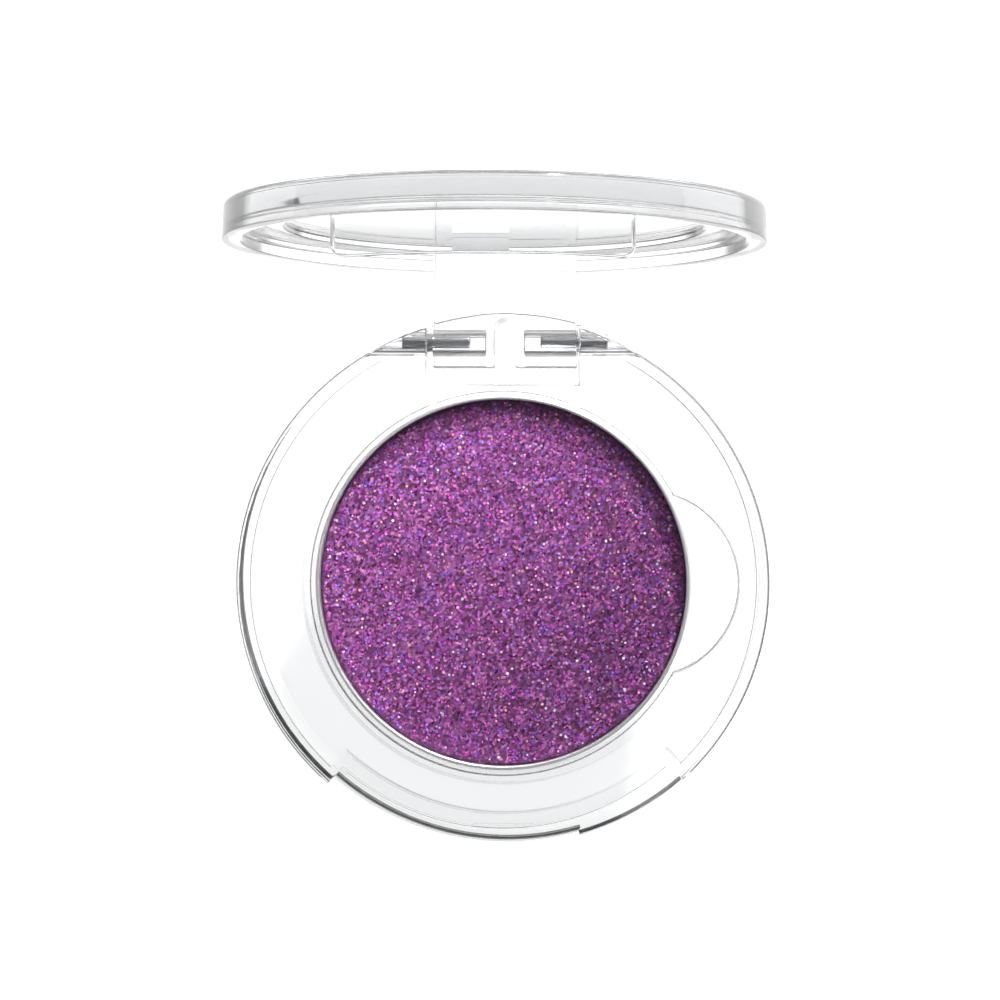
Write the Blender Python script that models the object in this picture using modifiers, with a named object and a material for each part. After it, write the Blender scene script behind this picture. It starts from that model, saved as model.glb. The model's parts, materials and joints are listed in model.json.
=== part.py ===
"""Round single eyeshadow compact, standing open: clear base and lid on two steel hinge pins.

Frame: metres, +Z up, origin in the middle of the underside, hinge at +Y, finger notch at +X.
The lid is modelled closed and then swung open about the hinge pins by its parent empty.
"""

from math import asin, cos, pi, radians, sin

import bmesh
import bpy
from mathutils import Matrix, Vector

MM = 0.001

# Driving dimensions
BASE_RADIUS = 20.0 * MM
BASE_HEIGHT = 9.2 * MM
DECK_THICKNESS = 1.2 * MM
SKIRT_THICKNESS = 1.0 * MM
EDGE_ROUND = 0.4 * MM
GAP = 0.3 * MM

WELL_RADIUS = 14.35 * MM
WELL_WALL = 0.8 * MM
WELL_FLOOR = 3.5 * MM
NOTCH_CENTRE_X = 10.7 * MM
NOTCH_RADIUS = 6.9 * MM
NOTCH_FLOOR = 6.6 * MM

PAN_WALL = 0.3 * MM
PAN_FLOOR = 4.4 * MM
PAN_TOP = 8.75 * MM
POWDER_TOP = 7.95 * MM
ADHESIVE_RADIUS = 9.0 * MM
ADHESIVE_THICKNESS = 0.4 * MM

COVER_THICKNESS = 1.2 * MM
LABEL_RADIUS = 12.0 * MM
LABEL_THICKNESS = 0.15 * MM

PIN_AXIS_Y = 17.9 * MM
PIN_AXIS_Z = 3.85 * MM
PIN_DIAMETER = 1.4 * MM
PIN_INNER_X = 2.65 * MM
PIN_OUTER_X = 7.75 * MM
EAR_BORE_DIAMETER = 1.7 * MM
ARM_BORE_DIAMETER = 1.9 * MM
ARM_BORE_END_X = 1.4 * MM

HINGE_GAP_HALF_WIDTH = 5.7 * MM
HINGE_GAP_FRONT_Y = 14.9 * MM
HINGE_GAP_FLOOR = 1.7 * MM
HINGE_WALL = 1.0 * MM
EAR_FRONT_Y = 16.6 * MM
EAR_HALF_SPAN = 10.4 * MM
REAR_STEP_Y = 17.1 * MM
REAR_STEP_DROP = 0.6 * MM

RECESS_START = radians(-131.0)
RECESS_BREAK = radians(-73.5)
RECESS_END = radians(-47.5)
RECESS_RADIUS = 18.4 * MM
RECESS_FLOOR = 5.6 * MM
RECESS_WALL = 1.0 * MM
RECESS_CHAMFER = 0.3 * MM
LEDGE_SET_IN = 0.35 * MM

LID_OPEN_ANGLE = radians(97.4)
LID_CLOSED_GAP = 0.1 * MM
LID_THICKNESS = 2.85 * MM
LID_EDGE_ROUND = 0.7 * MM
LID_RIM_INNER_RADIUS = 18.6 * MM
LID_STEP_RADIUS = 18.0 * MM
LID_RECESS_RADIUS = 15.4 * MM
LID_STEP_DEPTH = 0.75 * MM
LID_CEILING_DEPTH = 1.05 * MM
LID_RECESS_DEPTH = 1.45 * MM

ARM_HALF_WIDTH = 5.42 * MM
ARM_INNER = 2.0 * MM
ARM_OUTER = 1.5 * MM
ARM_BOTTOM = 2.0 * MM
ARM_INNER_ROUND = 1.0 * MM
ARM_SLOT_WIDTH = 1.5 * MM
ARM_SLOT_TOP = 1.7 * MM

TAB_HALF_WIDTH = 10.9 * MM
TAB_DROP = 3.1 * MM
TAB_INNER_RADIUS = 18.95 * MM
TAB_OUTER_RADIUS = 19.7 * MM
TAB_CORNER = 1.0 * MM
CATCH_WIDTH = 4.0 * MM
CATCH_HEIGHT = 1.9 * MM
CATCH_DEPTH = 2.0 * MM
CATCH_PROUD = 0.33 * MM

ROUND_STEPS = 96
SMALL_STEPS = 32
TAB_STEPS = 94
OVERRUN = 2.0 * MM
WELD = 0.002 * MM
FUSE = 0.6 * MM

RIM_PLANE = BASE_HEIGHT + LID_CLOSED_GAP


def clear_scene():
    for obj in list(bpy.data.objects):
        bpy.data.objects.remove(obj, do_unlink=True)


def new_collection(name):
    collection = bpy.data.collections.new(name)
    bpy.context.scene.collection.children.link(collection)
    return collection


def new_material(name, color, roughness, metallic=0.0, transmission=0.0):
    material = bpy.data.materials.new(name)
    material.use_nodes = True
    shader = material.node_tree.nodes["Principled BSDF"]
    shader.inputs["Base Color"].default_value = (*color, 1.0)
    shader.inputs["Roughness"].default_value = roughness
    shader.inputs["Metallic"].default_value = metallic
    shader.inputs["Transmission Weight"].default_value = transmission
    return material


clear_scene()
PARTS = new_collection("eyeshadow_compact")
CUTTERS = new_collection("cutters")


def add_part(name, mesh, material):
    part = bpy.data.objects.new(name, mesh)
    part.data.materials.append(material)
    PARTS.objects.link(part)
    return part


def add_cutter(name, mesh):
    cutter = bpy.data.objects.new(name, mesh)
    cutter.hide_render = True
    cutter.display_type = "WIRE"
    CUTTERS.objects.link(cutter)
    return cutter


def mesh_from(name, shape):
    mesh = bpy.data.meshes.new(name)
    shape.to_mesh(mesh)
    shape.free()
    return mesh


def box_mesh(name, low, high):
    shape = bmesh.new()
    bmesh.ops.create_cube(shape, size=1.0)
    size = Vector(high) - Vector(low)
    centre = (Vector(high) + Vector(low)) / 2
    bmesh.ops.scale(shape, vec=size, verts=shape.verts)
    bmesh.ops.translate(shape, vec=centre, verts=shape.verts)
    return mesh_from(name, shape)


def cylinder_mesh(name, centre, radius, height, steps, axis="Z"):
    shape = bmesh.new()
    bmesh.ops.create_cone(
        shape, cap_ends=True, segments=steps, radius1=radius, radius2=radius, depth=height
    )
    if axis == "X":
        bmesh.ops.rotate(shape, matrix=Matrix.Rotation(pi / 2, 3, "Y"), verts=shape.verts)
    bmesh.ops.translate(shape, vec=centre, verts=shape.verts)
    return mesh_from(name, shape)


def prism_mesh(name, outline, extent):
    """A flat outline, given as 3-D points, pushed along the vector extent."""
    shape = bmesh.new()
    face = shape.faces.new([shape.verts.new(point) for point in outline])
    pushed = bmesh.ops.extrude_face_region(shape, geom=[face])["geom"]
    moved = [item for item in pushed if isinstance(item, bmesh.types.BMVert)]
    bmesh.ops.translate(shape, vec=extent, verts=moved)
    bmesh.ops.recalc_face_normals(shape, faces=shape.faces)
    return mesh_from(name, shape)


def arc(centre, radius, start, end, steps):
    """Points of a circular arc in a plane, both ends included."""
    angles = [start + (end - start) * step / steps for step in range(steps + 1)]
    return [(centre[0] + radius * cos(a), centre[1] + radius * sin(a)) for a in angles]


def sector_mesh(name, inner, outer, low, high, start, end):
    """A slice of a ring standing between two heights."""
    steps = max(2, round((end - start) / (2 * pi) * ROUND_STEPS))
    outline = arc((0, 0), outer, start, end, steps) + arc((0, 0), inner, end, start, steps)
    points = [(x, y, low) for x, y in outline]
    return prism_mesh(name, points, (0, 0, high - low))


def turned_mesh(name, profile, steps=ROUND_STEPS, ring=False):
    """A profile of (radius, height) points turned about the Z axis; a ring's profile closes."""
    shape = bmesh.new()
    verts = [shape.verts.new((radius, 0, height)) for radius, height in profile]
    followers = verts[1:] + verts[:1] if ring else verts[1:]
    for first, second in zip(verts, followers):
        shape.edges.new((first, second))
    source = bpy.data.objects.new(name, mesh_from(name, shape))
    CUTTERS.objects.link(source)
    screw = source.modifiers.new("turn", "SCREW")
    screw.axis = "Z"
    screw.angle = 2 * pi
    screw.steps = steps
    screw.render_steps = steps
    screw.use_merge_vertices = True
    screw.merge_threshold = 0.000001
    mesh = evaluated_mesh(source)
    bpy.data.objects.remove(source, do_unlink=True)
    return mesh


def evaluated_mesh(obj):
    bpy.context.view_layer.update()
    depsgraph = bpy.context.evaluated_depsgraph_get()
    return bpy.data.meshes.new_from_object(obj.evaluated_get(depsgraph))


def boolean(part, operation, name, mesh):
    cutter = add_cutter(name, mesh)
    modifier = part.modifiers.new(name, "BOOLEAN")
    modifier.operation = operation
    modifier.solver = "EXACT"
    modifier.object = cutter
    return cutter


def join(part, name, mesh):
    return boolean(part, "UNION", name, mesh)


def cut(part, name, mesh):
    return boolean(part, "DIFFERENCE", name, mesh)


def bake(part):
    """Replaces the modifiers by their result, welded, and smooth on the round faces."""
    mesh = evaluated_mesh(part)
    shape = bmesh.new()
    shape.from_mesh(mesh)
    bmesh.ops.remove_doubles(shape, verts=shape.verts, dist=WELD)
    bmesh.ops.dissolve_degenerate(shape, edges=shape.edges, dist=WELD)
    shape.to_mesh(mesh)
    shape.free()
    part.modifiers.clear()
    part.data = mesh
    mesh.shade_smooth()
    mesh.set_sharp_from_angle(angle=radians(30))


def make_base_body(material):
    """Deck, outer skirt and the cup for the pan, in one moulding open at the bottom."""
    edge = arc((BASE_RADIUS - EDGE_ROUND, BASE_HEIGHT - EDGE_ROUND), EDGE_ROUND, pi / 2, 0, 4)
    inner = BASE_RADIUS - SKIRT_THICKNESS
    deck_bottom = BASE_HEIGHT - DECK_THICKNESS
    profile = [(0, BASE_HEIGHT), *edge, (BASE_RADIUS, GAP), (BASE_RADIUS - GAP, 0)]
    profile += [(inner, 0), (inner, deck_bottom), (0, deck_bottom)]
    base = add_part("base_shell", turned_mesh("base_shell", profile), material)

    well_bottom = WELL_FLOOR - WELL_WALL
    well_height = deck_bottom + FUSE - well_bottom
    well_centre = (0, 0, well_bottom + well_height / 2)
    well_outer = WELL_RADIUS + WELL_WALL
    join(base, "well", cylinder_mesh("well", well_centre, well_outer, well_height, ROUND_STEPS))

    pocket_bottom = NOTCH_FLOOR - WELL_WALL
    pocket_height = deck_bottom + FUSE - pocket_bottom
    pocket_centre = (NOTCH_CENTRE_X, 0, pocket_bottom + pocket_height / 2)
    pocket_outer = NOTCH_RADIUS + WELL_WALL
    pocket = cylinder_mesh("notch", pocket_centre, pocket_outer, pocket_height, ROUND_STEPS // 2)
    join(base, "notch", pocket)
    return base


def join_hinge_blocks(base):
    """The frame round the hinge gap, and the solid ears behind it that hold the pins."""
    top = BASE_HEIGHT - FUSE
    frame_x = HINGE_GAP_HALF_WIDTH + HINGE_WALL
    frame_low = (-frame_x, HINGE_GAP_FRONT_Y - HINGE_WALL, 0)
    frame_high = (frame_x, EAR_FRONT_Y + FUSE, top)
    join(base, "hinge_frame", box_mesh("hinge_frame", frame_low, frame_high))

    inside = BASE_RADIUS - EDGE_ROUND / 4
    side = asin(EAR_HALF_SPAN / inside)
    curve = arc((0, 0), inside, pi / 2 - side, pi / 2 + side, 16)
    outline = [(-EAR_HALF_SPAN, EAR_FRONT_Y), (EAR_HALF_SPAN, EAR_FRONT_Y), *curve]
    points = [(x, y, 0) for x, y in outline]
    join(base, "ears", prism_mesh("ears", points, (0, 0, top)))


def cut_hinge(base):
    """The gap that the lid's arm swings in, the lower shelf behind the deck, and the pin bores."""
    gap_low = (-HINGE_GAP_HALF_WIDTH, HINGE_GAP_FRONT_Y, HINGE_GAP_FLOOR)
    gap_high = (HINGE_GAP_HALF_WIDTH, BASE_RADIUS + OVERRUN, BASE_HEIGHT + OVERRUN)
    cut(base, "hinge_gap", box_mesh("hinge_gap", gap_low, gap_high))

    shelf_low = (-BASE_RADIUS, REAR_STEP_Y, BASE_HEIGHT - REAR_STEP_DROP)
    shelf_high = (BASE_RADIUS, BASE_RADIUS + OVERRUN, BASE_HEIGHT + OVERRUN)
    cut(base, "rear_shelf", box_mesh("rear_shelf", shelf_low, shelf_high))

    centre = (0, PIN_AXIS_Y, PIN_AXIS_Z)
    length = 2 * BASE_RADIUS
    bore = cylinder_mesh("ear_bores", centre, EAR_BORE_DIAMETER / 2, length, SMALL_STEPS, "X")
    cut(base, "ear_bores", bore)


def cut_pan_well(base):
    well_top = BASE_HEIGHT + OVERRUN
    depth = well_top - WELL_FLOOR
    centre = (0, 0, WELL_FLOOR + depth / 2)
    cut(base, "pan_well", cylinder_mesh("pan_well", centre, WELL_RADIUS, depth, ROUND_STEPS))

    depth = well_top - NOTCH_FLOOR
    centre = (NOTCH_CENTRE_X, 0, NOTCH_FLOOR + depth / 2)
    notch = cylinder_mesh("finger_notch", centre, NOTCH_RADIUS, depth, ROUND_STEPS // 2)
    cut(base, "finger_notch", notch)


def make_tab_recess(base):
    """The front recess for the lid's tab: a wall set back from the edge over a ledge."""
    margin = radians(2)
    wall_inner = RECESS_RADIUS - RECESS_WALL
    wall_outer = BASE_RADIUS - EDGE_ROUND / 2
    low = RECESS_FLOOR - RECESS_WALL
    high = BASE_HEIGHT - FUSE
    start = RECESS_START - margin
    end = RECESS_END + margin
    join(base, "tab_wall", sector_mesh("tab_wall", wall_inner, wall_outer, low, high, start, end))

    far = BASE_RADIUS + OVERRUN
    top = BASE_HEIGHT + OVERRUN
    space = (RECESS_FLOOR, top, RECESS_START, RECESS_END)
    cut(base, "tab_recess", sector_mesh("tab_recess", RECESS_RADIUS, far, *space))

    chamfer_low = BASE_HEIGHT - RECESS_CHAMFER
    slope = [(RECESS_RADIUS + GAP, chamfer_low - GAP), (RECESS_RADIUS - RECESS_CHAMFER, BASE_HEIGHT)]
    lift = (RECESS_RADIUS - RECESS_CHAMFER - OVERRUN, BASE_HEIGHT + OVERRUN)
    cone = turned_mesh("recess_chamfer", [lift, (far, top), *slope], ring=True)
    chamfer = cut(base, "recess_chamfer", cone)
    span = (low, top + OVERRUN, RECESS_START + margin / 4, RECESS_END - margin / 4)
    keep = add_cutter("chamfer_span", sector_mesh("chamfer_span", wall_inner, far + OVERRUN, *span))
    trim = chamfer.modifiers.new("span", "BOOLEAN")
    trim.operation = "INTERSECT"
    trim.solver = "EXACT"
    trim.object = keep

    ledge = BASE_RADIUS - LEDGE_SET_IN
    below = (-OVERRUN, RECESS_FLOOR + OVERRUN, RECESS_START, RECESS_BREAK)
    cut(base, "ledge_set_in", sector_mesh("ledge_set_in", ledge, far, *below))

    half = CATCH_WIDTH / 2 + GAP
    groove_z = RIM_PLANE - CATCH_DEPTH
    groove_low = (-half, -RECESS_RADIUS - OVERRUN, groove_z - CATCH_HEIGHT / 2)
    groove_high = (half, GAP - RECESS_RADIUS, groove_z + CATCH_HEIGHT / 2)
    cut(base, "catch_groove", box_mesh("catch_groove", groove_low, groove_high))


def make_base(material):
    base = make_base_body(material)
    join_hinge_blocks(base)
    make_tab_recess(base)
    cut_pan_well(base)
    cut_hinge(base)
    bake(base)


def make_cover(material):
    """The plate that closes the underside, with a shallow seat for the label."""
    radius = BASE_RADIUS - SKIRT_THICKNESS - GAP
    centre = (0, 0, COVER_THICKNESS / 2)
    plate = cylinder_mesh("base_cover", centre, radius, COVER_THICKNESS, ROUND_STEPS)
    cover = add_part("base_cover", plate, material)

    top = COVER_THICKNESS + OVERRUN
    frame_x = HINGE_GAP_HALF_WIDTH + HINGE_WALL + GAP
    frame_low = (-frame_x, HINGE_GAP_FRONT_Y - HINGE_WALL - GAP, -OVERRUN)
    cut(cover, "frame_seat", box_mesh("frame_seat", frame_low, (frame_x, BASE_RADIUS, top)))
    ear_low = (-BASE_RADIUS, EAR_FRONT_Y - GAP, -OVERRUN)
    ear_high = (BASE_RADIUS, BASE_RADIUS + OVERRUN, top)
    cut(cover, "ear_seat", box_mesh("ear_seat", ear_low, ear_high))

    seat_radius = LABEL_RADIUS + GAP
    seat_top = LABEL_THICKNESS + GAP
    seat_centre = (0, 0, (seat_top - OVERRUN) / 2)
    seat_height = seat_top + OVERRUN
    seat = cylinder_mesh("label_seat", seat_centre, seat_radius, seat_height, ROUND_STEPS)
    cut(cover, "label_seat", seat)
    bake(cover)


def make_label(material):
    centre = (0, 0, LABEL_THICKNESS / 2)
    mesh = cylinder_mesh("base_label", centre, LABEL_RADIUS, LABEL_THICKNESS, ROUND_STEPS)
    add_part("base_label", mesh, material)


def make_pan(material):
    """The pressed metal cup that holds the powder."""
    outer = WELL_RADIUS - GAP
    inner = outer - PAN_WALL
    floor_top = PAN_FLOOR + PAN_WALL
    corner = arc((outer - PAN_WALL, floor_top), PAN_WALL, 0, -pi / 2, 4)
    profile = [(0, floor_top), (inner, floor_top), (inner, PAN_TOP), (outer, PAN_TOP)]
    profile += [*corner, (0, PAN_FLOOR)]
    pan = add_part("powder_pan", turned_mesh("powder_pan", profile), material)
    bake(pan)


def make_powder(material):
    radius = WELL_RADIUS - GAP - PAN_WALL - GAP
    bottom = PAN_FLOOR + PAN_WALL + GAP
    edge = arc((radius - GAP, POWDER_TOP - GAP), GAP, pi / 2, 0, 3)
    profile = [(0, POWDER_TOP), *edge, (radius, bottom), (0, bottom)]
    powder = add_part("pressed_powder", turned_mesh("pressed_powder", profile), material)
    bake(powder)


def make_adhesive(material):
    """The double-sided disc between the pan and the bottom of its well."""
    middle = (WELL_FLOOR + PAN_FLOOR) / 2
    mesh = cylinder_mesh(
        "pan_adhesive", (0, 0, middle), ADHESIVE_RADIUS, ADHESIVE_THICKNESS, ROUND_STEPS // 2
    )
    add_part("pan_adhesive", mesh, material)


def make_pins(material):
    """Two short pins pushed in from the sides, each through an ear and into the lid's arm."""
    chamfer = PIN_DIAMETER / 10
    radius = PIN_DIAMETER / 2
    length = PIN_OUTER_X - PIN_INNER_X
    profile = [(0, length), (radius - chamfer, length), (radius, length - chamfer)]
    profile += [(radius, chamfer), (radius - chamfer, 0), (0, 0)]
    pin = turned_mesh("hinge_pin", profile, SMALL_STEPS)
    pin.transform(Matrix.Rotation(pi / 2, 4, "Y"))
    pin.shade_smooth()
    pin.set_sharp_from_angle(angle=radians(30))
    for name, start in (("hinge_pin_left", -PIN_OUTER_X), ("hinge_pin_right", PIN_INNER_X)):
        part = add_part(name, pin.copy(), material)
        part.location = (start, PIN_AXIS_Y, PIN_AXIS_Z)


def lid_disc_mesh():
    """The lid's flat plate with its rounded edge, rim and the two steps inside."""
    top = RIM_PLANE + LID_THICKNESS
    centre = (BASE_RADIUS - LID_EDGE_ROUND, top - LID_EDGE_ROUND)
    edge = arc(centre, LID_EDGE_ROUND, pi / 2, 0, 5)
    bevel = GAP / 2
    step = RIM_PLANE + LID_STEP_DEPTH
    ceiling = RIM_PLANE + LID_CEILING_DEPTH
    recess = RIM_PLANE + LID_RECESS_DEPTH
    profile = [(0, top), *edge, (BASE_RADIUS, RIM_PLANE + bevel), (BASE_RADIUS - bevel, RIM_PLANE)]
    profile += [(LID_RIM_INNER_RADIUS, RIM_PLANE), (LID_RIM_INNER_RADIUS, step)]
    profile += [(LID_STEP_RADIUS, step), (LID_STEP_RADIUS, ceiling)]
    profile += [(LID_RECESS_RADIUS, ceiling), (LID_RECESS_RADIUS, recess), (0, recess)]
    return turned_mesh("lid", profile)


def arm_mesh():
    """The thick arm that drops into the hinge gap, with a rounded lower end."""
    inner = PIN_AXIS_Y - ARM_INNER
    outer = PIN_AXIS_Y + ARM_OUTER
    bottom = PIN_AXIS_Z - ARM_BOTTOM
    top = RIM_PLANE + LID_RECESS_DEPTH
    front = (inner + ARM_INNER_ROUND, bottom + ARM_INNER_ROUND)
    back = (outer - ARM_OUTER, bottom + ARM_OUTER)
    outline = [(inner, top), *arc(front, ARM_INNER_ROUND, pi, 1.5 * pi, 6)]
    outline += [*arc(back, ARM_OUTER, 1.5 * pi, 2 * pi, 8), (outer, top)]
    points = [(-ARM_HALF_WIDTH, y, z) for y, z in outline]
    return prism_mesh("arm", points, (2 * ARM_HALF_WIDTH, 0, 0))


def cut_arm(lid, placed):
    """The slot between the two knuckles and a blind bore in each of them."""
    half = ARM_SLOT_WIDTH / 2
    crown = (0, PIN_AXIS_Z + ARM_SLOT_TOP - half)
    low = PIN_AXIS_Z - ARM_BOTTOM - OVERRUN
    outline = [(-half, low), (half, low), *arc(crown, half, 0, pi, 12)]
    points = [(x, PIN_AXIS_Y - ARM_INNER - OVERRUN, z) for x, z in outline]
    through = ARM_INNER + ARM_OUTER + 2 * OVERRUN
    placed(cut(lid, "arm_slot", prism_mesh("arm_slot", points, (0, through, 0))))

    length = ARM_HALF_WIDTH + OVERRUN - ARM_BORE_END_X
    for side in (-1, 1):
        name = "arm_bore_left" if side < 0 else "arm_bore_right"
        centre = (side * (ARM_BORE_END_X + length / 2), PIN_AXIS_Y, PIN_AXIS_Z)
        bore = cylinder_mesh(name, centre, ARM_BORE_DIAMETER / 2, length, SMALL_STEPS, "X")
        placed(cut(lid, name, bore))


def join_tab(lid, placed):
    """The front tab: a curved plate with two rounded lower corners and a catch on its inside."""
    low = RIM_PLANE - TAB_DROP
    high = RIM_PLANE + LID_STEP_DEPTH / 2
    corner = TAB_HALF_WIDTH - TAB_CORNER
    left = arc((-corner, low + TAB_CORNER), TAB_CORNER, pi, 1.5 * pi, 5)
    right = arc((corner, low + TAB_CORNER), TAB_CORNER, 1.5 * pi, 2 * pi, 5)
    outline = [(-TAB_HALF_WIDTH, high), *left, *right, (TAB_HALF_WIDTH, high)]
    points = [(x, -BASE_RADIUS - OVERRUN, z) for x, z in outline]
    tab = join(lid, "tab", prism_mesh("tab", points, (0, BASE_RADIUS, 0)))

    floor = low - OVERRUN
    roof = high + OVERRUN
    profile = [(TAB_OUTER_RADIUS, roof), (TAB_OUTER_RADIUS, floor), (TAB_INNER_RADIUS, floor)]
    profile += [(TAB_INNER_RADIUS, roof)]
    ring = add_cutter("tab_curve", turned_mesh("tab_curve", profile, TAB_STEPS, ring=True))
    bend = tab.modifiers.new("curve", "BOOLEAN")
    bend.operation = "INTERSECT"
    bend.solver = "EXACT"
    bend.object = ring

    middle = RIM_PLANE - CATCH_DEPTH
    half = CATCH_HEIGHT / 2
    buried = -(TAB_INNER_RADIUS + TAB_OUTER_RADIUS) / 2
    face = -TAB_INNER_RADIUS + CATCH_PROUD / 2
    ridge = -TAB_INNER_RADIUS + CATCH_PROUD
    wedge = [(buried, middle - half), (face, middle - half), (ridge, middle)]
    wedge += [(face, middle + half), (buried, middle + half)]
    points = [(-CATCH_WIDTH / 2, y, z) for y, z in wedge]
    catch = join(lid, "catch", prism_mesh("catch", points, (CATCH_WIDTH, 0, 0)))
    for piece in (tab, ring, catch):
        placed(piece)


def make_lid(material):
    hinge = bpy.data.objects.new("lid_hinge_axis", None)
    hinge.location = (0, PIN_AXIS_Y, PIN_AXIS_Z)
    hinge.rotation_euler = (-LID_OPEN_ANGLE, 0, 0)
    PARTS.objects.link(hinge)
    closed_place = Matrix.Translation((0, -PIN_AXIS_Y, -PIN_AXIS_Z))

    def placed(piece):
        piece.parent = hinge
        piece.matrix_parent_inverse = closed_place

    lid = add_part("lid", lid_disc_mesh(), material)
    placed(lid)
    placed(join(lid, "arm", arm_mesh()))
    cut_arm(lid, placed)
    join_tab(lid, placed)
    bake(lid)


def main():
    clear_plastic = new_material("clear_plastic", (0.97, 0.97, 0.98), 0.03, transmission=1.0)
    steel = new_material("steel", (0.62, 0.63, 0.65), 0.25, metallic=1.0)
    aluminium = new_material("aluminium", (0.86, 0.86, 0.87), 0.3, metallic=1.0)
    powder = new_material("glitter_powder", (0.23, 0.05, 0.22), 0.6)
    paper = new_material("white_label", (0.9, 0.9, 0.89), 0.6)
    adhesive = new_material("adhesive_foam", (0.85, 0.84, 0.8), 0.7)
    make_base(clear_plastic)
    make_cover(clear_plastic)
    make_label(paper)
    make_adhesive(adhesive)
    make_pan(aluminium)
    make_powder(powder)
    make_pins(steel)
    make_lid(clear_plastic)


main()
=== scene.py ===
"""Looks of the round eyeshadow compact: clear plastic, glitter powder, metal pan and pins."""

import json
from math import asin, atan2, cos, hypot, pi, radians, sin, sqrt

import bmesh
import bpy
import numpy as np
from mathutils import Matrix, Vector, noise


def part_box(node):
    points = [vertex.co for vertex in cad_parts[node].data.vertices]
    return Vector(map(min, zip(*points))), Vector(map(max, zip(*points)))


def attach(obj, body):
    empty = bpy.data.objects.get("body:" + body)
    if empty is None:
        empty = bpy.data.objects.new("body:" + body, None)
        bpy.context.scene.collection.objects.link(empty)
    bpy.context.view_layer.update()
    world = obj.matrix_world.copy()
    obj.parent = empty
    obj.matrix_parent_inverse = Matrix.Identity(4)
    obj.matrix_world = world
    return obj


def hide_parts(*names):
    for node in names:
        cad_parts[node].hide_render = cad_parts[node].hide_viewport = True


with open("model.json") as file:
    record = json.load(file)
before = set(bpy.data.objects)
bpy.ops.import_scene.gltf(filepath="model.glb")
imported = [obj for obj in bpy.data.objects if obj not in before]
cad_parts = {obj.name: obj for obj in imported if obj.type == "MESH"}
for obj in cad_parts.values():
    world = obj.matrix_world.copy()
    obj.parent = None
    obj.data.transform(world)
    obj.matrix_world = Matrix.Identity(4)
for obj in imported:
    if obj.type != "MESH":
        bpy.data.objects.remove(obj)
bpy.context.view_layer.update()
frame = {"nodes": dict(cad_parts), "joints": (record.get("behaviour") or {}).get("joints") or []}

MM = 0.001

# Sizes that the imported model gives
BASE_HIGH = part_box("base_shell")[1]
RADIUS = BASE_HIGH.x
HEIGHT = BASE_HIGH.z
PAN_LOW, PAN_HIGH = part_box("powder_pan")
PAN_RADIUS = PAN_HIGH.x
POWDER_LOW, POWDER_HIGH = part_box("pressed_powder")
PIN_LOW, PIN_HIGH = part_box("hinge_pin_right")
COVER_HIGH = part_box("base_cover")[1]
HINGE = frame["joints"][0]
HINGE_POINT = Vector(HINGE["pos_m"])
OPEN_ANGLE = radians(HINGE["range_deg"][1])

# Sizes that the solids hold inside
GAP = 0.3 * MM
DECK = 1.2 * MM
SKIRT = 1.0 * MM
WELL_RADIUS = PAN_RADIUS + GAP
WELL_WALL = 0.8 * MM
WELL_FLOOR = PAN_LOW.z - 0.9 * MM
NOTCH_X = 10.7 * MM
NOTCH_RADIUS = 6.9 * MM
NOTCH_FLOOR = 6.6 * MM
GAP_HALF = 5.7 * MM
GAP_FRONT = 14.9 * MM
GAP_FLOOR = 1.7 * MM
GAP_WALL = 1.0 * MM
EAR_FRONT = 16.6 * MM
EAR_HALF = 10.4 * MM
EAR_OVERLAP = 0.6 * MM
SHELF_Y = 17.1 * MM
SHELF_DROP = 0.6 * MM
EAR_BORE = 0.85 * MM
RECESS = (radians(-131.0), radians(-73.5), radians(-47.5))
RECESS_RADIUS = 18.4 * MM
RECESS_FLOOR = 5.6 * MM
RECESS_WALL = 1.0 * MM
RECESS_MARGIN = radians(2)
LEDGE_SET_IN = 0.35 * MM
RIM_PLANE = HEIGHT + 0.1 * MM
LID_THICKNESS = 2.85 * MM
LID_EDGE = 0.7 * MM
LID_STEPS = ((18.6, 0.75), (18.0, 1.05), (15.4, 1.45))
ARM_HALF = 5.42 * MM
ARM_FRONT = 2.0 * MM
ARM_REAR = 1.5 * MM
ARM_BELOW = 2.0 * MM
ARM_ROUNDS = (1.0 * MM, 1.5 * MM)
SLOT_HALF = 0.75 * MM
SLOT_TOP = 1.7 * MM
ARM_BORE = 0.95 * MM
ARM_BORE_END = 1.4 * MM
TAB_HALF = 10.9 * MM
TAB_DROP = 3.1 * MM
TAB_CORNER = 1.0 * MM
TAB_RADII = (18.95 * MM, 19.7 * MM)
CATCH = (4.0 * MM, 1.9 * MM, 2.0 * MM, 0.33 * MM)

# Rounding of the visible edges, and the fineness of the work
FINE = 320
DECK_ROUND = 0.3 * MM
FOOT_ROUND = 0.7 * MM
SKIRT_FOOT_ROUND = 0.06 * MM
SKIRT_TOP_ROUND = 0.15 * MM
BASE_EDGE = 0.32 * MM
LID_RIM_ROUND = 0.12 * MM
LID_STEP_ROUND = 0.14 * MM
LID_BEVEL = 0.15 * MM
FAR = 2.0 * MM
WELD = 0.001 * MM
SHARP = radians(30)


# ---------------------------------------------------------------- materials

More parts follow.
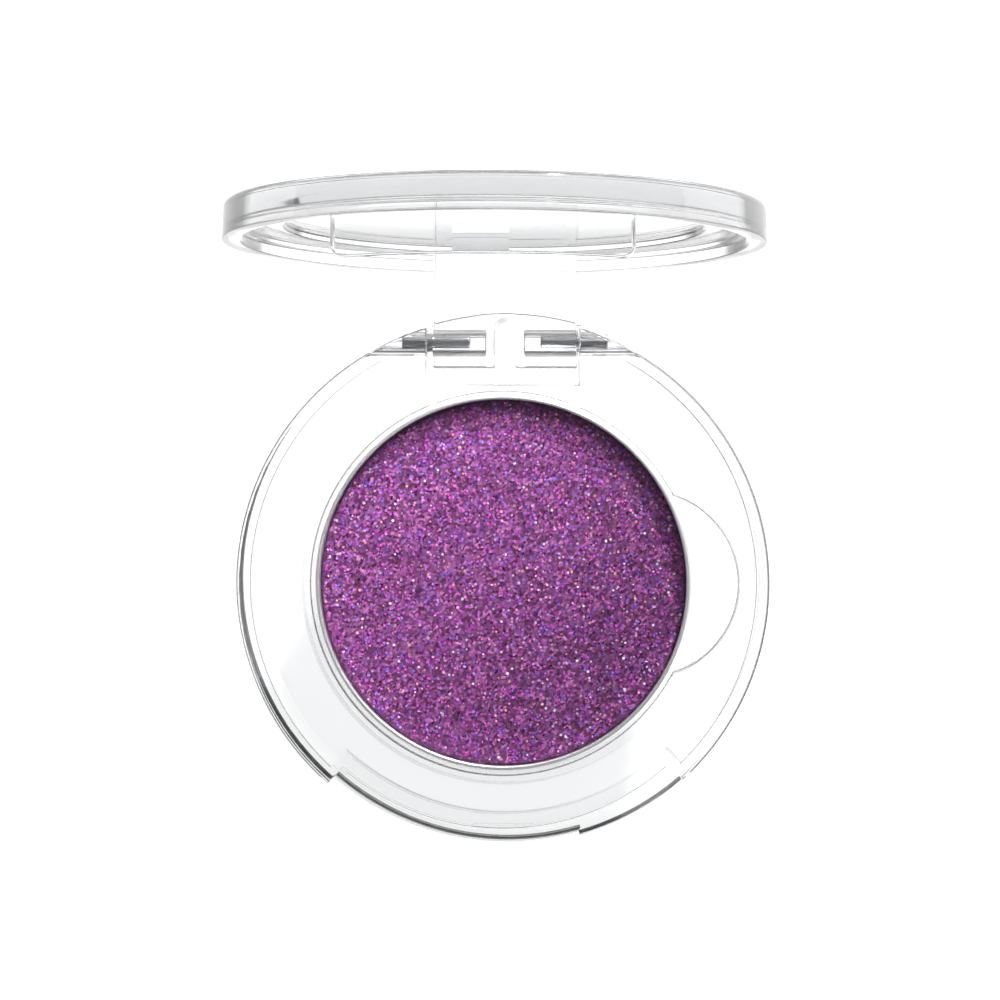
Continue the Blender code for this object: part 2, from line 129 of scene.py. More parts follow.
class Graph:
    """A small helper that adds nodes to a material and links them."""

    def __init__(self, name):
        self.material = bpy.data.materials.new(name)
        self.material.use_nodes = True
        self.tree = self.material.node_tree
        self.shader = self.tree.nodes["Principled BSDF"]
        self.output = self.tree.nodes["Material Output"]

    def add(self, kind, **settings):
        node = self.tree.nodes.new("ShaderNode" + kind)
        for key, value in settings.items():
            if hasattr(node, key):
                setattr(node, key, value)
            else:
                node.inputs[key.replace("_", " ")].default_value = value
        return node

    def link(self, source, target):
        self.tree.links.new(source, target)

    def set(self, **values):
        for key, value in values.items():
            self.shader.inputs[key.replace("_", " ")].default_value = value

    def coordinates(self):
        return self.add("TexCoord").outputs["Object"]

    def noise(self, scale, detail=3.0, roughness=0.5):
        node = self.add("TexNoise", Scale=scale, Detail=detail, Roughness=roughness)
        self.link(self.coordinates(), node.inputs["Vector"])
        return node.outputs["Fac"]

    def ramp(self, value, stops):
        node = self.add("ValToRGB")
        elements = node.color_ramp.elements
        while len(elements) < len(stops):
            elements.new(0.5)
        for element, (position, color) in zip(elements, stops):
            element.position = position
            element.color = (*color, 1.0)
        self.link(value, node.inputs["Fac"])
        return node.outputs["Color"]

    def range(self, value, low, high, start=0.0, end=1.0):
        node = self.add("MapRange")
        node.inputs["From Min"].default_value = start
        node.inputs["From Max"].default_value = end
        node.inputs["To Min"].default_value = low
        node.inputs["To Max"].default_value = high
        self.link(value, node.inputs["Value"])
        return node.outputs["Result"]

    def bump(self, height, strength, distance):
        node = self.add("Bump", Strength=strength, Distance=distance)
        self.link(height, node.inputs["Height"])
        self.link(node.outputs["Normal"], self.shader.inputs["Normal"])


def grey(value):
    return (value, value, value)


def clear_plastic(name="clear_plastic", trapped_edge_shade=0.72, grazed_edge_shade=0.25):
    """Polished clear plastic with painted shade on its edges: where the surface is seen at a steep angle, its
    colour turns dark grey and its transmission drops, which paints the dark edge lines. Lamps shine through
    it.
    """
    graph = Graph(name)
    graph.set(IOR=1.49)
    graph.link(graph.range(graph.noise(900.0), 0.004, 0.03), graph.shader.inputs["Roughness"])
    graph.bump(graph.noise(120.0, 1.0), 0.02, 0.02 * MM)
    steepness = graph.add("LayerWeight", Blend=0.5).outputs["Facing"]
    # Painted shade: the inner ramp darkens surfaces seen from inside the plastic, the outer ramp those seen
    # from outside, both only at steep angles.
    inner_shade_stops = ((0.25, grey(0.0)), (0.32, grey(trapped_edge_shade)), (0.72, grey(trapped_edge_shade)), (0.86, grey(trapped_edge_shade / 2)))
    outer_shade_stops = ((0.55, grey(0.0)), (0.68, grey(grazed_edge_shade)), (0.82, grey(grazed_edge_shade)), (0.9, grey(0.0)))
    inner = graph.ramp(steepness, inner_shade_stops)
    outer = graph.ramp(steepness, outer_shade_stops)
    edge_shade_mix = graph.add("Mix", data_type="FLOAT")
    graph.link(graph.add("NewGeometry").outputs["Backfacing"], edge_shade_mix.inputs["Factor"])
    graph.link(outer, edge_shade_mix.inputs["A"])
    graph.link(inner, edge_shade_mix.inputs["B"])
    share = edge_shade_mix.outputs["Result"]
    graph.link(graph.range(share, 1.0, 0.0), graph.shader.inputs["Transmission Weight"])
    # Painted shade: the base colour runs from near white to dark grey as the painted edge shade grows.
    tint = graph.ramp(share, ((0.0, (0.985, 0.988, 0.992)), (0.3, grey(0.22))))
    graph.link(tint, graph.shader.inputs["Base Color"])
    path = graph.add("LightPath")
    clear = graph.add("BsdfTransparent", Color=(0.95, 0.95, 0.955, 1.0))
    mix = graph.add("MixShader")
    graph.link(path.outputs["Is Shadow Ray"], mix.inputs["Fac"])
    graph.link(graph.shader.outputs["BSDF"], mix.inputs[1])
    graph.link(clear.outputs["BSDF"], mix.inputs[2])
    graph.link(mix.outputs["Shader"], graph.output.inputs["Surface"])
    tone = graph.add("VolumeAbsorption", Color=(0.35, 0.36, 0.37, 1.0), Density=18.0)
    graph.link(tone.outputs["Volume"], graph.output.inputs["Volume"])
    return graph.material


def glitter_powder():
    """Plum powder packed with flakes: every cell has its own colour, gloss and tilt."""
    graph = Graph("glitter_powder")
    cells = graph.add("TexVoronoi", Scale=5600.0, Randomness=1.0)
    graph.link(graph.coordinates(), cells.inputs["Vector"])
    parts = graph.add("SeparateColor")
    graph.link(cells.outputs["Color"], parts.inputs["Color"])
    hues = (
        (0.0, (0.09, 0.022, 0.07)),
        (0.25, (0.114, 0.027, 0.092)),
        (0.45, (0.142, 0.031, 0.123)),
        (0.62, (0.18, 0.038, 0.167)),
        (0.75, (0.124, 0.048, 0.238)),
        (0.84, (0.256, 0.049, 0.22)),
        (0.93, (0.342, 0.078, 0.238)),
        (1.0, (0.38, 0.13, 0.37)),
    )
    color = graph.ramp(parts.outputs["Red"], hues)
    graph.link(color, graph.shader.inputs["Base Color"])
    graph.link(graph.range(parts.outputs["Green"], 0.25, 0.6), graph.shader.inputs["Roughness"])
    graph.link(graph.range(parts.outputs["Blue"], 0.0, 0.5, 0.5), graph.shader.inputs["Metallic"])
    tilt = graph.add("VectorMath", operation="MULTIPLY_ADD")
    tilt.inputs[1].default_value = (0.4, 0.4, 0.0)
    tilt.inputs[2].default_value = (-0.2, -0.2, 1.0)
    graph.link(cells.outputs["Color"], tilt.inputs[0])
    unit = graph.add("VectorMath", operation="NORMALIZE")
    graph.link(tilt.outputs["Vector"], unit.inputs[0])
    graph.link(unit.outputs["Vector"], graph.shader.inputs["Normal"])
    return graph.material


def flake(name, color, roughness):
    """A glossy flake whose colour varies a little from place to place."""
    graph = Graph(name)
    graph.set(Metallic=0.3, Roughness=roughness)
    darker = tuple(channel * 0.8 for channel in color)
    tint = graph.ramp(graph.noise(4000.0), ((0.3, darker), (0.7, color)))
    graph.link(tint, graph.shader.inputs["Base Color"])
    return graph.material


def pan_metal():
    """Pressed aluminium whose roughness and surface vary faintly from place to place."""
    graph = Graph("aluminium_pan")
    graph.set(Metallic=1.0, Base_Color=(0.92, 0.91, 0.92, 1.0))
    graph.link(graph.range(graph.noise(2500.0), 0.34, 0.54), graph.shader.inputs["Roughness"])
    graph.bump(graph.noise(1800.0), 0.15, 0.02 * MM)
    return graph.material


def steel():
    """Dark steel with fine drawing lines along the pin."""
    graph = Graph("steel_pin")
    graph.set(Metallic=1.0, Base_Color=(0.36, 0.36, 0.37, 1.0))
    lines = graph.add("TexNoise", Scale=1.0, Detail=2.0)
    stretch = graph.add("Mapping")
    stretch.inputs["Scale"].default_value = (200.0, 9000.0, 9000.0)
    graph.link(graph.coordinates(), stretch.inputs["Vector"])
    graph.link(stretch.outputs["Vector"], lines.inputs["Vector"])
    graph.link(graph.range(lines.outputs["Fac"], 0.15, 0.4), graph.shader.inputs["Roughness"])
    graph.bump(lines.outputs["Fac"], 0.2, 0.01 * MM)
    return graph.material


def paper_label():
    """Matt white paper with a faint fibre."""
    graph = Graph("white_label")
    graph.set(Roughness=0.6)
    fibre = graph.ramp(graph.noise(1200.0, 6.0), ((0.35, (0.82, 0.82, 0.81)), (0.65, (0.88, 0.88, 0.87))))
    graph.link(fibre, graph.shader.inputs["Base Color"])
    graph.bump(graph.noise(3000.0, 4.0), 0.1, 0.02 * MM)
    return graph.material


def foam():
    """Off-white adhesive foam with small cells."""
    graph = Graph("adhesive_foam")
    graph.set(Roughness=0.8)
    cells = graph.noise(5000.0, 2.0)
    color = graph.ramp(cells, ((0.3, (0.72, 0.71, 0.66)), (0.7, (0.86, 0.85, 0.81))))
    graph.link(color, graph.shader.inputs["Base Color"])
    graph.bump(cells, 0.5, 0.05 * MM)
    return graph.material


def studio_floor():
    """White paper on a light table, which gives off some light of its own."""
    graph = Graph("studio_floor")
    graph.set(Roughness=0.9, Specular_IOR_Level=0.1, Emission_Color=(1, 1, 1, 1), Emission_Strength=0.97)
    paper = graph.ramp(graph.noise(3.0, 2.0), ((0.3, grey(0.45)), (0.7, grey(0.47))))
    graph.link(paper, graph.shader.inputs["Base Color"])
    return graph.material


# ---------------------------------------------------------------- solid shapes

def mesh_from(name, shape):
    mesh = bpy.data.meshes.new(name)
    shape.to_mesh(mesh)
    shape.free()
    return mesh


def new_object(name, mesh):
    obj = bpy.data.objects.new(name, mesh)
    bpy.context.scene.collection.objects.link(obj)
    return obj


def evaluated(obj):
    """The object's mesh with its modifiers applied; the object itself is removed."""
    bpy.context.view_layer.update()
    mesh = bpy.data.meshes.new_from_object(obj.evaluated_get(bpy.context.evaluated_depsgraph_get()))
    bpy.data.objects.remove(obj, do_unlink=True)
    return mesh


def arc(centre, radius, start, end, steps):
    """Points along a circular arc, in a plane."""
    angles = [start + (end - start) * step / steps for step in range(steps + 1)]
    return [(centre[0] + radius * cos(a), centre[1] + radius * sin(a)) for a in angles]


def rounded(points, radii, steps=4):
    """An open profile whose inner corners are rounded by the radii given for them."""
    result = [points[0]]
    for index in range(1, len(points) - 1):
        before, here, after = (Vector(p) for p in points[index - 1:index + 2])
        radius = radii.get(index, 0.0)
        if not radius:
            result.append(tuple(here))
            continue
        start = here + (before - here).normalized() * radius
        end = here + (after - here).normalized() * radius
        for step in range(steps + 1):
            t = step / steps
            point = start * (1 - t) ** 2 + here * 2 * t * (1 - t) + end * t ** 2
            result.append(tuple(point))
    result.append(points[-1])
    return result


def turned(profile, steps=FINE, ring=False):
    """A profile of (radius, height) points turned about Z. A ring's profile is closed."""
    shape = bmesh.new()
    verts = [shape.verts.new((radius, 0, height)) for radius, height in profile]
    followers = verts[1:] + verts[:1] if ring else verts[1:]
    for first, second in zip(verts, followers):
        shape.edges.new((first, second))
    source = new_object("turned", mesh_from("turned", shape))
    screw = source.modifiers.new("turn", "SCREW")
    screw.axis = "Z"
    screw.angle = 2 * pi
    screw.steps = steps
    screw.render_steps = steps
    screw.use_merge_vertices = True
    screw.merge_threshold = WELD
    return evaluated(source)


def prism(outline, extent):
    """A flat outline pushed along a vector."""
    shape = bmesh.new()
    face = shape.faces.new([shape.verts.new(point) for point in outline])
    pushed = bmesh.ops.extrude_face_region(shape, geom=[face])["geom"]
    moved = [item for item in pushed if isinstance(item, bmesh.types.BMVert)]
    bmesh.ops.translate(shape, vec=extent, verts=moved)
    bmesh.ops.recalc_face_normals(shape, faces=shape.faces)
    return mesh_from("prism", shape)


def box(low, high):
    outline = [(low[0], low[1]), (high[0], low[1]), (high[0], high[1]), (low[0], high[1])]
    return prism([(x, y, low[2]) for x, y in outline], (0, 0, high[2] - low[2]))


def drum(centre, radius, low, high, steps=FINE):
    outline = arc(centre, radius, 0, 2 * pi, steps)[:-1]
    return prism([(x, y, low) for x, y in outline], (0, 0, high - low))


def rod(start, radius, length, steps=64):
    """A cylinder along X that starts at a point."""
    outline = arc((start[1], start[2]), radius, 0, 2 * pi, steps)[:-1]
    return prism([(start[0], y, z) for y, z in outline], (length, 0, 0))


def sector(inner, outer, low, high, start, end):
    """Part of a ring about Z, between two radii, heights and angles."""
    steps = max(2, round((end - start) / (2 * pi) * FINE))
    outline = arc((0, 0), outer, start, end, steps) + arc((0, 0), inner, end, start, steps)
    return prism([(x, y, low) for x, y in outline], (0, 0, high - low))


def combine(mesh, *steps):
    """Joins and cuts a mesh by others, in order: ("UNION", mesh), ("DIFFERENCE", mesh)..."""
    body = new_object("body", mesh)
    tools = []
    for operation, other in steps:
        tool = new_object("tool", other)
        tools.append(tool)
        modifier = body.modifiers.new(operation, "BOOLEAN")
        modifier.operation = operation
        modifier.solver = "EXACT"
        modifier.object = tool
    result = evaluated(body)
    for tool in tools:
        bpy.data.objects.remove(tool, do_unlink=True)
    return result


def finish_mesh(mesh, edge=0.0, share=None, segments=3, flat=radians(0.3)):
    """Welds, dissolves the flat joints, and rounds each sharp edge by its share of the edge width."""
    shape = bmesh.new()
    shape.from_mesh(mesh)
    bmesh.ops.remove_doubles(shape, verts=shape.verts, dist=WELD)
    bmesh.ops.dissolve_degenerate(shape, edges=shape.edges, dist=WELD)
    bmesh.ops.dissolve_limit(shape, angle_limit=flat, verts=shape.verts, edges=shape.edges)
    weights = shape.edges.layers.float.new("bevel_weight_edge")
    for line in shape.edges:
        if share and len(line.link_faces) == 2 and line.calc_face_angle() > SHARP:
            line[weights] = share((line.verts[0].co + line.verts[1].co) / 2)
    shape.to_mesh(mesh)
    shape.free()
    mesh.shade_smooth()
    mesh.set_sharp_from_angle(angle=SHARP)
    if not share:
        return mesh
    body = new_object("body", mesh)
    bevel = body.modifiers.new("edges", "BEVEL")
    bevel.width = edge
    bevel.segments = segments
    bevel.limit_method = "WEIGHT"
    bevel.harden_normals = True
    bevel.use_clamp_overlap = False
    return evaluated(body)


def add_piece(name, mesh, materials, body, slot, *nodes):
    """Adds a visible piece with its materials. It rides on a body and stands for the CAD nodes given."""
    piece = new_object(name, mesh)
    piece.data.materials.clear()
    for material in materials:
        piece.data.materials.append(material)
    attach(piece, body)
    if nodes:
        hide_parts(*nodes)


# ---------------------------------------------------------------- base

def base_profile():
    """The deck and the outer skirt, turned about Z."""
    inner = RADIUS - SKIRT
    under = HEIGHT - DECK
    corners = [(0, HEIGHT), (RADIUS, HEIGHT), (RADIUS, 0), (inner, 0), (inner, under), (0, under)]
    fillets = {1: DECK_ROUND, 2: FOOT_ROUND, 3: SKIRT_FOOT_ROUND, 4: SKIRT_TOP_ROUND}
    return turned(rounded(corners, fillets, 6))


def base_walls():
    """What stands under the deck: the walls of the well, notch, hinge gap, ears and front recess."""
    top = HEIGHT - 0.5 * DECK
    well = drum((0, 0), WELL_RADIUS + WELL_WALL, WELL_FLOOR - WELL_WALL, top)
    pocket = drum((NOTCH_X, 0), NOTCH_RADIUS + WELL_WALL, NOTCH_FLOOR - WELL_WALL, top)
    frame_x = GAP_HALF + GAP_WALL
    gap_walls = box((-frame_x, GAP_FRONT - GAP_WALL, 0), (frame_x, EAR_FRONT + EAR_OVERLAP, top))
    inside = RADIUS - 0.1 * SKIRT
    side = asin(EAR_HALF / inside)
    rear = arc((0, 0), inside, pi / 2 - side, pi / 2 + side, 32)
    ear_outline = [(-EAR_HALF, EAR_FRONT), (EAR_HALF, EAR_FRONT), *rear]
    ears = prism([(x, y, 0) for x, y in ear_outline], (0, 0, top))
    recess_wall = sector(RECESS_RADIUS - RECESS_WALL, RADIUS - 0.2 * SKIRT, RECESS_FLOOR - RECESS_WALL, top,
                         RECESS[0] - RECESS_MARGIN, RECESS[2] + RECESS_MARGIN)
    return well, pocket, gap_walls, ears, recess_wall


def ledge_cutter():
    """Sets in the left part of the base below the front recess, and rounds its foot."""
    set_in = RADIUS - LEDGE_SET_IN - FOOT_ROUND
    foot = arc((set_in, FOOT_ROUND - 0.02 * MM), FOOT_ROUND, -pi / 2, 0, 8)
    beyond = [(RADIUS + FAR, RECESS_FLOOR + FAR), (RADIUS + FAR, -FAR), (set_in, -FAR)]
    around = turned([*beyond, *foot, (RADIUS - LEDGE_SET_IN, RECESS_FLOOR + FAR)], ring=True)
    front = sector(RADIUS - FAR, RADIUS + 2 * FAR, -2 * FAR, HEIGHT + FAR, RECESS[0], RECESS[1])
    return combine(around, ("INTERSECT", front))


def base_openings():
    """What is cut out of the base, in order."""
    sky = HEIGHT + FAR
    recess = sector(RECESS_RADIUS, RADIUS + FAR, RECESS_FLOOR, sky, RECESS[0], RECESS[2])
    width, height, depth, _ = CATCH
    half = width / 2 + GAP
    middle = RIM_PLANE - depth
    groove = box((-half, -RECESS_RADIUS - FAR, middle - height / 2),
                 (half, GAP - RECESS_RADIUS, middle + height / 2))
    pan_well = drum((0, 0), WELL_RADIUS, WELL_FLOOR, sky)
    notch = drum((NOTCH_X, 0), NOTCH_RADIUS, NOTCH_FLOOR, sky)
    gap = box((-GAP_HALF, GAP_FRONT, GAP_FLOOR), (GAP_HALF, RADIUS + FAR, sky))
    shelf = box((-RADIUS, SHELF_Y, HEIGHT - SHELF_DROP), (RADIUS, RADIUS + FAR, sky))
    bores = rod((-RADIUS - FAR, HINGE_POINT.y, HINGE_POINT.z), EAR_BORE, 2 * (RADIUS + FAR))
    return recess, ledge_cutter(), groove, pan_well, notch, gap, shelf, bores


def base_mesh():
    joins = [("UNION", wall) for wall in base_walls()]
    cuts = [("DIFFERENCE", opening) for opening in base_openings()]
    mesh = combine(base_profile(), *joins, *cuts)
    mesh = finish_mesh(mesh, edge=BASE_EDGE, share=base_edge_share)
    for face in mesh.polygons:
        face.material_index = int(is_hidden_face(face.center))
    return mesh


def is_hidden_face(point):
    """True on the hollow underside of the deck, away from the well, the notch and the hinge."""
    span = hypot(point.x, point.y)
    beside_well = span > WELL_RADIUS + 0.5 * WELL_WALL
    beside_notch = hypot(point.x - NOTCH_X, point.y) > NOTCH_RADIUS + 0.5 * WELL_WALL
    in_front_of_ears = point.y < EAR_FRONT - GAP
    beside_gap = abs(point.x) > GAP_HALF + 0.5 * MM or point.y < GAP_FRONT - 0.5 * MM
    under_deck = point.z < HEIGHT - 0.8 * DECK
    inside_skirt = span < RADIUS - 0.8 * SKIRT
    in_recess = RECESS[0] < atan2(point.y, point.x) < RECESS[2] and span > RECESS_RADIUS - 0.5 * MM
    hollow = beside_well and beside_notch and in_front_of_ears and beside_gap
    return hollow and under_deck and inside_skirt and not in_recess


def base_edge_share(point):
    """The edges of the deck are eased a little, and the finger notch more."""
    if point.z < HEIGHT - SHELF_DROP - WELD:
        return 0.0
    on_notch = abs(hypot(point.x - NOTCH_X, point.y) - NOTCH_RADIUS) < 0.02 * MM
    return 1.0 if on_notch else 0.45


def cover_mesh():
    radius = COVER_HIGH.x
    height = COVER_HIGH.z
    corners = [(0, height), (radius, height), (radius, 0), (0, 0)]
    plate = turned(rounded(corners, {1: 0.15 * MM, 2: 0.15 * MM}))
    frame_x = GAP_HALF + GAP_WALL + GAP
    frame_seat = box((-frame_x, GAP_FRONT - GAP_WALL - GAP, -FAR), (frame_x, RADIUS, height + FAR))
    ear_seat = box((-RADIUS, EAR_FRONT - GAP, -FAR), (RADIUS, RADIUS + FAR, height + FAR))
    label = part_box("base_label")[1]
    seat = drum((0, 0), label.x + GAP, -FAR, label.z + GAP)
    mesh = combine(plate, ("DIFFERENCE", frame_seat), ("DIFFERENCE", ear_seat), ("DIFFERENCE", seat))
    return finish_mesh(mesh)


# ---------------------------------------------------------------- lid

def swing_open(mesh):
    """Turns a mesh made in the closed position about the hinge pins to the open rest position."""
    there = Matrix.Translation(HINGE_POINT)
    back = Matrix.Translation(-HINGE_POINT)
    mesh.transform(there @ Matrix.Rotation(-OPEN_ANGLE, 4, "X") @ back)
    return mesh


def arm_mesh():
    """The hinge arm that hangs from the lid's rear edge, with its two lower corners rounded."""
    inner = HINGE_POINT.y - ARM_FRONT
    outer = HINGE_POINT.y + ARM_REAR
    bottom = HINGE_POINT.z - ARM_BELOW
    top = RIM_PLANE + LID_STEPS[-1][1] * MM
    near, far = ARM_ROUNDS
    outline = [(inner, top), *arc((inner + near, bottom + near), near, pi, 1.5 * pi, 12)]
    outline += [*arc((outer - far, bottom + far), far, 1.5 * pi, 2 * pi, 16), (outer, top)]
    return prism([(-ARM_HALF, y, z) for y, z in outline], (2 * ARM_HALF, 0, 0))


def tab_mesh():
    """The curved front tab, with its two lower corners rounded."""
    low = RIM_PLANE - TAB_DROP
    high = RIM_PLANE + GAP
    corner = TAB_CORNER
    left = arc((corner - TAB_HALF, low + corner), corner, pi, 1.5 * pi, 8)
    right = arc((TAB_HALF - corner, low + corner), corner, 1.5 * pi, 2 * pi, 8)
    outline = [(-TAB_HALF, high), *left, *right, (TAB_HALF, high)]
    plate = prism([(x, -RADIUS - FAR, z) for x, z in outline], (0, RADIUS, 0))
    inner, outer = TAB_RADII
    profile = [(outer, high + FAR), (outer, low - FAR), (inner, low - FAR), (inner, high + FAR)]
    curve = turned(profile, steps=FINE - 2, ring=True)
    return combine(plate, ("INTERSECT", curve))


def catch_mesh():
    """The small wedge inside the tab that snaps into the base's groove."""
    width, height, depth, proud = CATCH
    inner, outer = TAB_RADII
    middle = RIM_PLANE - depth
    buried = -(inner + outer) / 2
    face = proud / 2 - inner
    wedge = [(buried, middle - height / 2), (face, middle - height / 2), (proud - inner, middle)]
    wedge += [(face, middle + height / 2), (buried, middle + height / 2)]
    return prism([(-width / 2, y, z) for y, z in wedge], (width, 0, 0))


def lid_edge_share(point):
    """What hangs below the rim has eased edges, except the small catch."""
    width, height, depth, _ = CATCH
    above_catch_foot = point.z > RIM_PLANE - depth - height / 2 - WELD
    on_catch = point.y < 0 and abs(point.x) < width / 2 + WELD and above_catch_foot
    on_plate = point.z > RIM_PLANE - 0.05 * MM
    return 0.0 if on_catch or on_plate else 1.0


def slot_cutter():
    """The upright slot with a round top, between the two pins."""
    crown = (0, HINGE_POINT.z + SLOT_TOP - SLOT_HALF)
    below = HINGE_POINT.z - 2 * FAR
    outline = [(-SLOT_HALF, below), (SLOT_HALF, below), *arc(crown, SLOT_HALF, 0, pi, 24)]
    return prism([(x, HINGE_POINT.y - 2 * FAR, z) for x, z in outline], (0, 4 * FAR, 0))


def lid_mesh():
    top = RIM_PLANE + LID_THICKNESS
    corners = [(0, top), (RADIUS, top), (RADIUS, RIM_PLANE)]
    level = RIM_PLANE
    for radius, depth in LID_STEPS:
        corners += [(radius * MM, level), (radius * MM, RIM_PLANE + depth * MM)]
        level = RIM_PLANE + depth * MM
    corners.append((0, level))
    fillets = {1: LID_EDGE, 2: LID_RIM_ROUND}
    for index in range(3, len(corners) - 1):
        fillets[index] = LID_STEP_ROUND
    plate = turned(rounded(corners, fillets, 6))
    slot = slot_cutter()
    bore_length = ARM_HALF + FAR - ARM_BORE_END
    right = rod((ARM_BORE_END, HINGE_POINT.y, HINGE_POINT.z), ARM_BORE, bore_length)
    left = rod((-ARM_BORE_END - bore_length, HINGE_POINT.y, HINGE_POINT.z), ARM_BORE, bore_length)
    mesh = combine(
        plate, ("UNION", arm_mesh()), ("DIFFERENCE", slot), ("DIFFERENCE", left), ("DIFFERENCE", right),
        ("UNION", tab_mesh()), ("UNION", catch_mesh()),
    )
    return swing_open(finish_mesh(mesh, edge=LID_BEVEL, share=lid_edge_share))


# ---------------------------------------------------------------- pan and powder

def pan_mesh():
    inner = PAN_RADIUS - 0.3 * MM
    floor = PAN_LOW.z + 0.3 * MM
    corners = [(0, floor), (inner, floor), (inner, PAN_HIGH.z), (PAN_RADIUS, PAN_HIGH.z)]
    corners += [(PAN_RADIUS, PAN_LOW.z), (0, PAN_LOW.z)]
    fillets = {1: 0.4 * MM, 2: 0.12 * MM, 3: 0.12 * MM, 4: 0.7 * MM}
    mesh = turned(rounded(corners, fillets, 5))
    mesh.shade_smooth()
    mesh.set_sharp_from_angle(angle=SHARP)
    return mesh


POWDER_RADIUS = PAN_RADIUS - 0.36 * MM


def powder_height(x, y):
    """The pressed surface: nearly flat, slightly uneven, and turned down at the very edge."""
    edge = max(0.0, (sqrt(x * x + y * y) - POWDER_RADIUS + 0.35 * MM) / (0.35 * MM))
    point = Vector((x, y, 0))
    rough = noise.noise(point * 2600) * 0.018 + noise.noise(point * 900) * 0.02
    rough += noise.noise(point * 160) * 0.03
    return POWDER_HIGH.z + (rough - 0.22 * edge * edge) * MM


def powder_mesh():
    rings = 90
    around = 240
    shape = bmesh.new()
    centre = shape.verts.new((0, 0, powder_height(0, 0)))
    loops = []
    for ring in range(1, rings + 1):
        radius = POWDER_RADIUS * ring / rings
        loop = []
        for step in range(around):
            angle = 2 * pi * (step + 0.5 * (ring % 2)) / around
            x = radius * cos(angle)
            y = radius * sin(angle)
            loop.append(shape.verts.new((x, y, powder_height(x, y))))
        loops.append(loop)
    bottom = [shape.verts.new((v.co.x, v.co.y, POWDER_LOW.z)) for v in loops[-1]]
    for step in range(around):
        after = (step + 1) % around
        shape.faces.new((centre, loops[0][step], loops[0][after]))
        for inner, outer in zip(loops, loops[1:]):
            shape.faces.new((inner[step], outer[step], outer[after], inner[after]))
        shape.faces.new((loops[-1][step], bottom[step], bottom[after], loops[-1][after]))
    shape.faces.new(list(reversed(bottom)))
    bmesh.ops.recalc_face_normals(shape, faces=shape.faces)
    mesh = mesh_from("powder", shape)
    mesh.shade_smooth()
    mesh.set_sharp_from_angle(angle=radians(50))
    return mesh


FLAKES = (
    ("flake_magenta", (0.60, 0.07, 0.54), 0.3, 1500),
    ("flake_violet", (0.26, 0.13, 0.75), 0.3, 1000),
    ("flake_pink", (0.85, 0.30, 0.50), 0.3, 420),
    ("flake_lilac", (0.75, 0.45, 0.90), 0.25, 300),
    ("flake_salmon", (0.98, 0.45, 0.32), 0.3, 90),
    ("flake_silver", (0.98, 0.90, 0.96), 0.2, 220),
)


def flake_mesh(count, generator):
    """Thin six-sided flakes lying on the powder at small random tilts."""
    shape = bmesh.new()
    for _ in range(count):
        radius = (POWDER_RADIUS - 0.2 * MM) * sqrt(generator.random())
        angle = 2 * pi * generator.random()
        x = radius * cos(angle)
        y = radius * sin(angle)
        size = (0.06 + 0.06 * generator.random()) * MM
        pitch = Matrix.Rotation(generator.normal(0, 0.22), 4, "X")
        roll = Matrix.Rotation(generator.normal(0, 0.22), 4, "Y")
        spin = Matrix.Rotation(2 * pi * generator.random(), 4, "Z")
        place = Matrix.Translation((x, y, powder_height(x, y) + 0.022 * MM)) @ pitch @ roll @ spin
        bmesh.ops.create_cone(shape, cap_ends=True, segments=6, radius1=size, radius2=size,
                              depth=0.012 * MM, matrix=place)
    return mesh_from("flakes", shape)


# ---------------------------------------------------------------- pins

def pin_mesh(start):
    """A pin along X with rounded ends, starting at the given X."""
    radius = (PIN_HIGH.z - PIN_LOW.z) / 2
    length = PIN_HIGH.x - PIN_LOW.x
    corners = [(0, length), (radius, length), (radius, 0), (0, 0)]
    mesh = turned(rounded(corners, {1: 0.16 * MM, 2: 0.16 * MM}, 5), steps=64)
    place = Matrix.Translation((start, HINGE_POINT.y, HINGE_POINT.z))
    mesh.transform(place @ Matrix.Rotation(pi / 2, 4, "Y"))
    mesh.shade_smooth()
    mesh.set_sharp_from_angle(angle=SHARP)
    return mesh


def build_object():
    plastic = clear_plastic()
    # The hollow underside of the deck gets this plastic without painted edge shade.
    hidden_plastic = clear_plastic("clear_plastic_inner", trapped_edge_shade=0.0, grazed_edge_shade=0.0)
    add_piece("clear_base", base_mesh(), (plastic, hidden_plastic), "base", "clear_plastic", "base_shell")
    add_piece("clear_cover", cover_mesh(), (plastic,), "base", "clear_plastic", "base_cover")
    # The lid's plastic carries stronger painted edge shade.
    lid_plastic = clear_plastic("clear_plastic_lid", trapped_edge_shade=0.85, grazed_edge_shade=0.6)
    add_piece("clear_lid", lid_mesh(), (lid_plastic,), "lid", "clear_plastic", "lid")
    add_piece("metal_pan", pan_mesh(), (pan_metal(),), "base", "aluminium_pan", "powder_pan")
    add_piece("powder", powder_mesh(), (glitter_powder(),), "base", "glitter_powder", "pressed_powder")
    generator = np.random.default_rng(7)
    for name, color, roughness, count in FLAKES:
        materials = (flake(name, color, roughness),)
        add_piece(name, flake_mesh(count, generator), materials, "base", "glitter_powder")
    metal = (steel(),)
    add_piece("pin_right", pin_mesh(PIN_LOW.x), metal, "base", "steel_pin", "hinge_pin_right")
    add_piece("pin_left", pin_mesh(-PIN_HIGH.x), metal, "base", "steel_pin", "hinge_pin_left")
    for node, material in (("base_label", paper_label()), ("pan_adhesive", foam())):
        data = frame["nodes"][node].data
        data.materials.clear()
        data.materials.append(material)


# ---------------------------------------------------------------- stage

def area_light(name, place, target, size, power):
    """A square lamp that shines from a place to a target."""
    light = bpy.data.lights.new(name, "AREA")
    light.shape = "SQUARE"
    light.size = size
    light.energy = power
    lamp = bpy.data.objects.new(name, light)
    lamp.location = place
    lamp.rotation_euler = (Vector(target) - Vector(place)).to_track_quat("-Z", "Y").to_euler()
    bpy.context.scene.collection.objects.link(lamp)


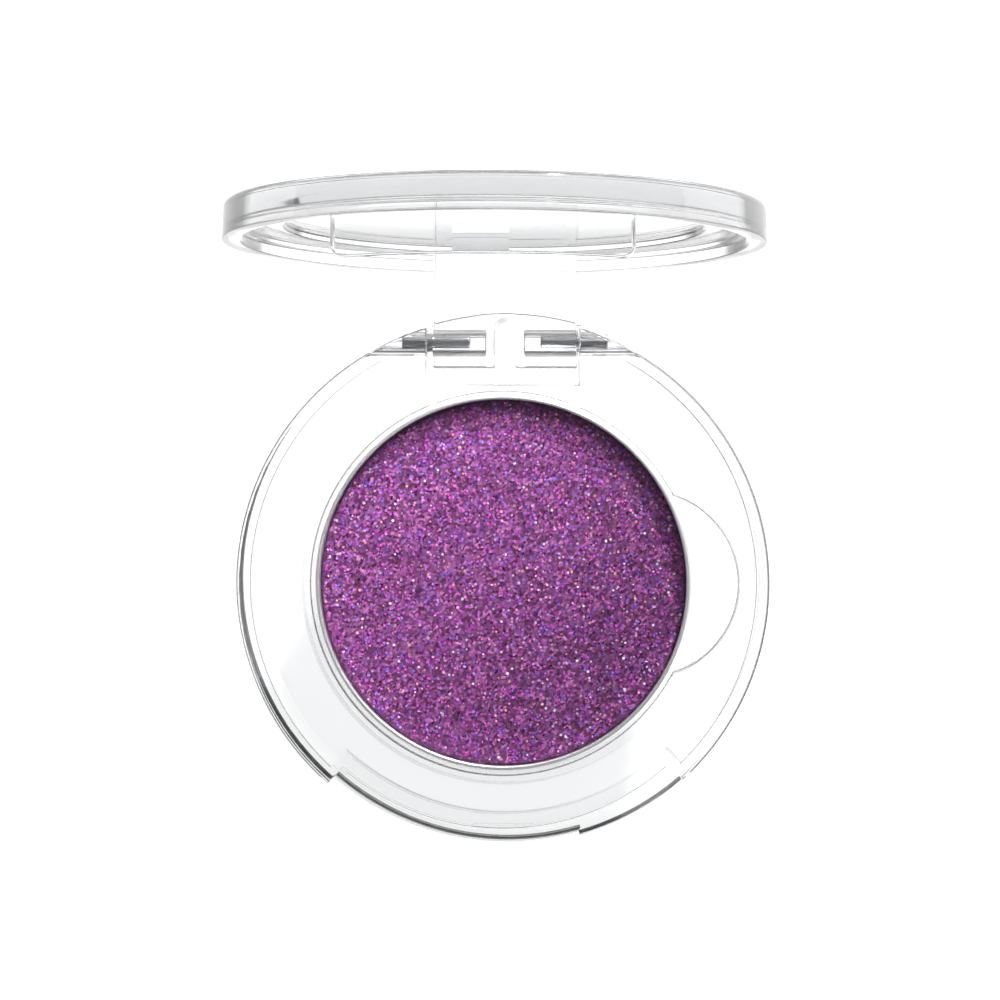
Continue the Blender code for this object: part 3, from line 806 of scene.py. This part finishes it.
def make_world():
    """White overhead and low behind on the right, dark low in front and on the left."""
    world = bpy.data.worlds.new("studio")
    bpy.context.scene.world = world
    world.use_nodes = True
    tree = world.node_tree
    background = tree.nodes["Background"]
    direction = tree.nodes.new("ShaderNodeTexCoord")
    lift = tree.nodes.new("ShaderNodeVectorMath")
    lift.operation = "DOT_PRODUCT"
    lift.inputs[1].default_value = (0.28, 0.40, 1.0)
    ramp = tree.nodes.new("ShaderNodeValToRGB")
    stops = ((0.0, 0.04), (0.3, 0.05), (0.55, 1.0), (1.0, 1.0))
    elements = ramp.color_ramp.elements
    while len(elements) < len(stops):
        elements.new(0.5)
    for element, (position, value) in zip(elements, stops):
        element.position = position
        element.color = (*grey(value), 1.0)
    tree.links.new(direction.outputs["Generated"], lift.inputs[0])
    tree.links.new(lift.outputs["Value"], ramp.inputs["Fac"])
    tree.links.new(ramp.outputs["Color"], background.inputs["Color"])
    background.inputs["Strength"].default_value = 0.31


FLOOR_DROP = 0.02 * MM


def make_stage():
    shape = bmesh.new()
    bmesh.ops.create_grid(shape, x_segments=8, y_segments=8, size=3.0)
    floor = new_object("floor", mesh_from("floor", shape))
    floor.location.z = -FLOOR_DROP
    floor.data.materials.append(studio_floor())
    area_light("rear_key", (0.22, 0.61, 0.22), (0, 0, 0.01), 0.05, 8.5)
    make_world()


def make_camera():
    """Nearly straight above the base, a little to the right and behind."""
    distance = 0.6
    out = Vector((0.05, 0.04, 1.0)).normalized()
    right = Vector((0, 1, 0)).cross(out).normalized()
    up = out.cross(right)
    aim = Vector((0, 0, HEIGHT)) - right * 0.17 * MM + up * 6.25 * MM
    data = bpy.data.cameras.new("camera")
    data.sensor_width = 36.0
    data.lens = 288.6
    data.clip_start = 0.01
    data.clip_end = 20.0
    camera = bpy.data.objects.new("camera", data)
    turn = Matrix((right, up, out)).transposed().to_4x4()
    camera.matrix_world = Matrix.Translation(aim + out * distance) @ turn
    bpy.context.scene.collection.objects.link(camera)
    bpy.context.scene.camera = camera


def set_view():
    scene = bpy.context.scene
    scene.view_settings.view_transform = "Standard"
    scene.view_settings.exposure = 0.0
    scene.cycles.max_bounces = 32
    scene.cycles.transmission_bounces = 32
    scene.cycles.transparent_max_bounces = 32
    scene.cycles.glossy_bounces = 12


build_object()
make_stage()
make_camera()
set_view()
